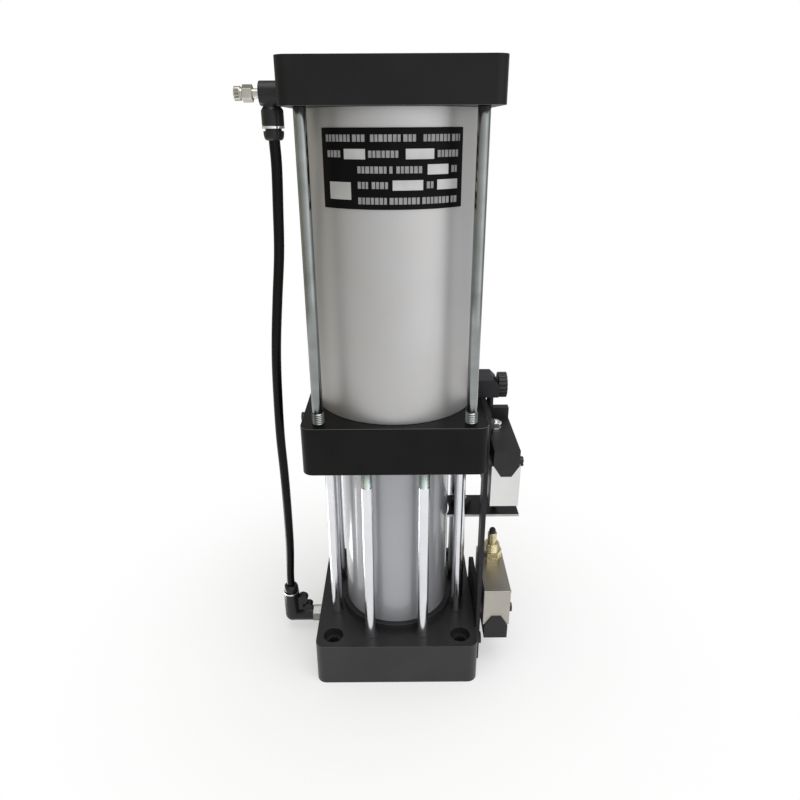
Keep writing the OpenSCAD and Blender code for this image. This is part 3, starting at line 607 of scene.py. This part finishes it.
LABEL_R = 55.2
LABEL_HALF = 44.0
LABEL_PROUD = 0.05
LABEL_STEPS = 24
LABEL_BAR = 0.085
LABEL_FIELD = 0.125
LABEL_ROWS = [
    (0.875, [(0.03, 0.33), (0.36, 0.65), (0.70, 0.98)], []),
    (0.685, [(0.04, 0.15), (0.345, 0.56), (0.80, 0.965)], [(0.175, 0.325), (0.585, 0.775)]),
    (0.495, [(0.27, 0.50), (0.525, 0.70), (0.91, 0.965)], [(0.73, 0.885)]),
    (0.305, [(0.27, 0.34), (0.365, 0.47), (0.725, 0.775)], [(0.50, 0.70), (0.80, 0.965)]),
    (0.11, [(0.27, 0.965)], []),
]
LABEL_PLAQUE = (0.05, 0.22, 0.12, 0.34)
BAR_LENGTHS = (0.022, 0.018, 0.026, 0.02, 0.024)
BAR_GAP = 0.007
WORD_BARS = 7
WORD_GAP = 2.5 * BAR_GAP


def label_patch(bm, left, right, bottom, top):
    """A thin patch on the label's face, in shares of its width and height from its lower left corner."""
    low, high = span("nameplate")
    inner, outer = LABEL_R - LABEL_PROUD, LABEL_R + LABEL_PROUD
    z0, z1 = (low.z + (high.z - low.z) * share for share in (bottom, top))
    corners = ((inner, z0), (outer, z0), (outer, z1), (inner, z1))
    steps = max(2, round(LABEL_STEPS * (right - left)))
    rings = []
    for k in range(steps + 1):
        share = left + (right - left) * k / steps
        angle = math.radians(LABEL_HALF * (2 * share - 1))
        x, y = math.sin(angle), -math.cos(angle)
        rings.append([bm.verts.new(Vector((r * x, r * y, z)) * MM) for r, z in corners])
    for a, b in zip(rings, rings[1:]):
        for i in range(len(corners)):
            k = (i + 1) % len(corners)
            bm.faces.new((a[i], a[k], b[k], b[i]))
    bm.faces.new(rings[0])
    bm.faces.new(rings[-1][::-1])


def band(left, right, middle, height):
    """The sides of a patch that lies evenly about the middle of a row."""
    return left, right, middle - height / 2, middle + height / 2


def word_bars(left, right, middle):
    """Short plain bars that fill a line of the label, with a wider gap between words."""
    bars = []
    while left < right - BAR_GAP:
        end = min(left + BAR_LENGTHS[len(bars) % len(BAR_LENGTHS)], right)
        bars.append(band(left, end, middle, LABEL_BAR))
        left = end + (WORD_GAP if len(bars) % WORD_BARS == 0 else BAR_GAP)
    return bars


def label_patches(name, patches, material):
    bm = bmesh.new()
    for patch in patches:
        label_patch(bm, *patch)
    bmesh.ops.recalc_face_normals(bm, faces=bm.faces)
    piece(name, bm, material, BODY["nameplate"])


def label_print():
    """Bars for the words of each row, and plain fields for its blanks."""
    bars, fields = [], [LABEL_PLAQUE]
    for middle, words, blanks in LABEL_ROWS:
        for left, right in words:
            bars += word_bars(left, right, middle)
        fields += [band(left, right, middle, LABEL_FIELD) for left, right in blanks]
    label_patches("nameplate_bars", bars, PRINT_WHITE)
    label_patches("nameplate_fields", fields, FIELD_SILVER)


# Hose

def smooth_route(points):
    """A smooth line through the points."""
    line = []
    ends = [points[0], *points, points[-1]]
    for a, b, c, d in zip(ends, ends[1:], ends[2:], ends[3:]):
        a, b, c, d = Vector(a), Vector(b), Vector(c), Vector(d)
        for k in range(HOSE_STEPS):
            t = k / HOSE_STEPS
            line.append(0.5 * (2 * b + (c - a) * t + (2 * a - 5 * b + 4 * c - d) * t ** 2
                               + (3 * b - a - 3 * c + d) * t ** 3) * MM)
    line.append(Vector(points[-1]) * MM)
    return line


def hose():
    line = smooth_route(HOSE_ROUTE)
    curve = bpy.data.curves.new("air_hose_tube", "CURVE")
    curve.dimensions = "3D"
    curve.bevel_depth = HOSE_D / 2 * MM
    curve.bevel_resolution = HOSE_ROUNDNESS
    curve.use_fill_caps = True
    spline = curve.splines.new("POLY")
    spline.points.add(len(line) - 1)
    for point, place in zip(spline.points, line):
        point.co = (*place, 1)
    spline.use_smooth = True
    curve.materials.append(LOOK["hose"])
    obj = bpy.data.objects.new("air_hose_tube", curve)
    SCENE.collection.objects.link(obj)
    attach(obj, BODY["air_hose"])
    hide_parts("air_hose")


# Camera

def camera():
    yaw, pitch, roll = (math.radians(a) for a in (CAMERA_YAW, CAMERA_PITCH, CAMERA_ROLL))
    ahead = Vector((math.sin(yaw) * math.cos(pitch), math.cos(yaw) * math.cos(pitch), -math.sin(pitch)))
    right = Vector((math.cos(yaw), -math.sin(yaw), 0))
    down = ahead.cross(right)
    right, down = (right * math.cos(roll) - down * math.sin(roll),
                   right * math.sin(roll) + down * math.cos(roll))
    data = bpy.data.cameras.new("camera")
    data.sensor_width = SENSOR_MM
    data.lens = FOCAL_PX / IMAGE_PX * SENSOR_MM
    data.clip_start = CAMERA_NEAR * MM
    obj = bpy.data.objects.new("camera", data)
    turn = Matrix((right, -down, -ahead)).transposed().to_4x4()
    obj.matrix_world = Matrix.Translation(Vector(CAMERA_AT) * MM) @ turn
    SCENE.collection.objects.link(obj)
    SCENE.camera = obj


# Floor, in metres, which fades from its own colour to white between two radii

FLOOR_R = 0.75
FLOOR_SIDES = 128
FLOOR_CLOUD = 3
FLOOR_COLOURS = [(0.9, 0.9, 0.9), (0.92, 0.92, 0.92)]
FLOOR_ROUGH = (0.6, 0.7)
FADE_START_R = 0.05
FADE_END_R = 0.3
FADE_START = 0.45


def floor_finish():
    """A pale matt finish, mixed with the backdrop's white by the distance from the middle."""
    nodes = Nodes("floor")
    clouds = nodes.noise(FLOOR_CLOUD)
    nodes.link(nodes.tint(clouds, *FLOOR_COLOURS), "Base Color")
    nodes.link(nodes.spread(clouds, *FLOOR_ROUGH), "Roughness")
    place = nodes.add("ShaderNodeTexCoord")
    length = nodes.add("ShaderNodeVectorMath")
    length.operation = "LENGTH"
    fade = nodes.add("ShaderNodeMapRange")
    fade.interpolation_type = "SMOOTHSTEP"
    fade.inputs["From Min"].default_value = FADE_START_R
    fade.inputs["From Max"].default_value = FADE_END_R
    fade.inputs["To Min"].default_value = FADE_START
    glow = nodes.add("ShaderNodeEmission")
    mix = nodes.add("ShaderNodeMixShader")
    nodes.link(place.outputs["Object"], length.inputs[0])
    nodes.link(length.outputs["Value"], fade.inputs["Value"])
    nodes.link(fade.outputs["Result"], mix.inputs["Fac"])
    nodes.link(nodes.shader.outputs["BSDF"], mix.inputs[1])
    nodes.link(glow.outputs["Emission"], mix.inputs[2])
    nodes.link(mix.outputs["Shader"], nodes.tree.nodes["Material Output"].inputs["Surface"])
    return nodes.material


def floor():
    bm = bmesh.new()
    bmesh.ops.create_circle(bm, cap_ends=True, radius=FLOOR_R, segments=FLOOR_SIDES)
    mesh = bpy.data.meshes.new("floor")
    bm.to_mesh(mesh)
    bm.free()
    mesh.materials.append(floor_finish())
    obj = bpy.data.objects.new("floor", mesh)
    SCENE.collection.objects.link(obj)


# Soft boxes, in metres and watts: place, target, size and power

SOFTBOXES = {
    "top_box": ((0.1, -0.2, 1.5), (0, 0, 0.2), (1.2, 1.2), 9),
    "floor_box": ((-0.2, 0.03, 0.002), (-0.2, 0.03, 1), (0.15, 0.08), 0.16),
}


def softbox(name, place, target, size, power):
    data = bpy.data.lights.new(name, "AREA")
    data.shape = "RECTANGLE"
    data.size, data.size_y = size
    data.energy = power
    obj = bpy.data.objects.new(name, data)
    obj.location = place
    obj.rotation_euler = (Vector(target) - Vector(place)).to_track_quat("-Z", "Y").to_euler()
    obj.visible_camera = False
    SCENE.collection.objects.link(obj)


# Studio by bearing, in degrees from the front to the right, with its brightness and warmth

STUDIO_PEAK = 1.7
STUDIO = [
    (-180, 0.4, 0), (-127, 0.32, 0.6), (-116, 0.4, 1), (-111, 0.9, 1), (-104, 0.9, 1), (-99, 0.45, 1),
    (-71, 0.5, 0.9), (-44, 0.62, 0.3), (-19, 0.78, -0.1), (5, 0.94, -0.1), (30, 1.26, 0), (45, 1.58, 0),
    (72, 1.3, 0), (88, 0.7, 0), (102, 0.3, 0), (124, 0.6, 0), (180, 0.45, 0),
]
WARM_GREEN = 0.06
WARM_BLUE = 0.22


def bearing_ramp(tree):
    """A ramp with the studio's colours, from straight behind all the way round."""
    ramp = tree.nodes.new("ShaderNodeValToRGB")
    points = ramp.color_ramp.elements
    for degrees, level, warmth in STUDIO:
        share = (degrees + 180) / 360
        point = points[0] if share == 0 else points[-1] if share == 1 else points.new(share)
        level /= STUDIO_PEAK
        point.color = (level, level * (1 - WARM_GREEN * warmth), level * (1 - WARM_BLUE * warmth), 1)
    return ramp


def studio():
    """Soft light all round the object, by bearing, before a white backdrop."""
    world = bpy.data.worlds.new("studio")
    world.use_nodes = True
    SCENE.world = world
    tree = world.node_tree
    add = tree.nodes.new
    link = tree.links.new
    place = add("ShaderNodeTexCoord")
    parts = add("ShaderNodeSeparateXYZ")
    ahead = add("ShaderNodeMath")
    ahead.operation = "MULTIPLY"
    ahead.inputs[1].default_value = -1
    bearing = add("ShaderNodeMath")
    bearing.operation = "ARCTAN2"
    turn = add("ShaderNodeMapRange")
    turn.inputs["From Min"].default_value = -math.pi
    turn.inputs["From Max"].default_value = math.pi
    ramp = bearing_ramp(tree)
    light = tree.nodes["Background"]
    light.inputs["Strength"].default_value = STUDIO_PEAK
    white = add("ShaderNodeBackground")
    white.inputs["Color"].default_value = (1, 1, 1, 1)
    path = add("ShaderNodeLightPath")
    mix = add("ShaderNodeMixShader")
    link(place.outputs["Generated"], parts.inputs[0])
    link(parts.outputs["Y"], ahead.inputs[0])
    link(parts.outputs["X"], bearing.inputs[0])
    link(ahead.outputs[0], bearing.inputs[1])
    link(bearing.outputs[0], turn.inputs["Value"])
    link(turn.outputs["Result"], ramp.inputs["Fac"])
    link(ramp.outputs["Color"], light.inputs["Color"])
    link(path.outputs["Is Camera Ray"], mix.inputs["Fac"])
    link(light.outputs["Background"], mix.inputs[1])
    link(white.outputs["Background"], mix.inputs[2])
    link(mix.outputs["Shader"], tree.nodes["World Output"].inputs["Surface"])


camera()
hose()
inner_pieces()
dressed_pieces()
upper_rods()
lower_rods()
rod_foot_painted_shadows()
collet("flow_collet", False)
collet("elbow_collet", True)
cover_lip()
bush("lower_switch_bush", True)
bush("upper_switch_bush", False)
setting_stud()
label_print()
floor()
studio()
for name, settings in SOFTBOXES.items():
    softbox(name, *settings)
